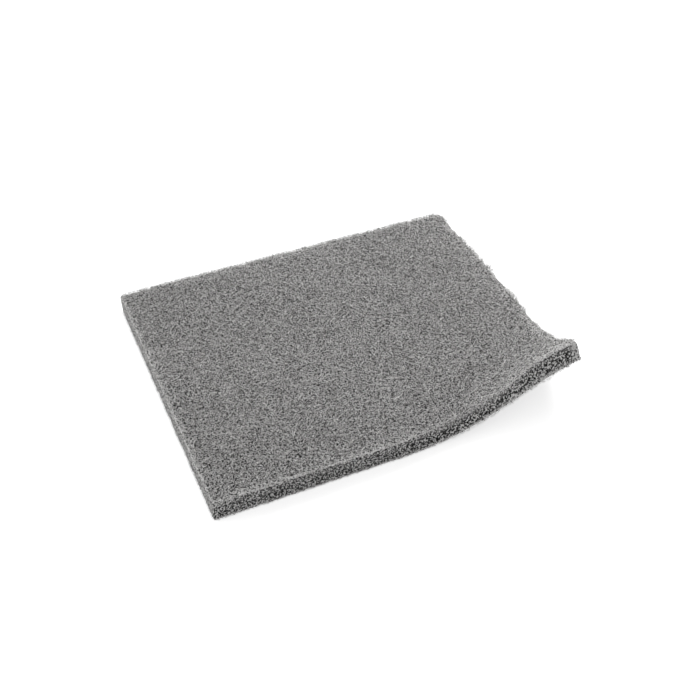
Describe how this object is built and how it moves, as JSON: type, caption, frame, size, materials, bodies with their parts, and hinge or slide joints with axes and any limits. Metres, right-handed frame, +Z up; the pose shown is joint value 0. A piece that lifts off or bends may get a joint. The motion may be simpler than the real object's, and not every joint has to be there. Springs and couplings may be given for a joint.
{
  "type": "scuff pad",
  "caption": "Rectangular grey nonwoven abrasive hand pad of springy bonded fibre web, lying flat with one corner curled up.",
  "frame": {"origin": "middle of the pad's rectangle, on its flat underside", "axes": "+X along the long side, +Y along the short side away from the curled corner, +Z up through the thickness"},
  "size_m": [0.14, 0.115, 0.0221],
  "materials": {
    "nonwoven_web": "open crimped fibre web bonded with matt grey abrasive resin"
  },
  "bodies": {
    "root": {"nonwoven_pad": "nonwoven_web"}
  },
  "joints": []
}
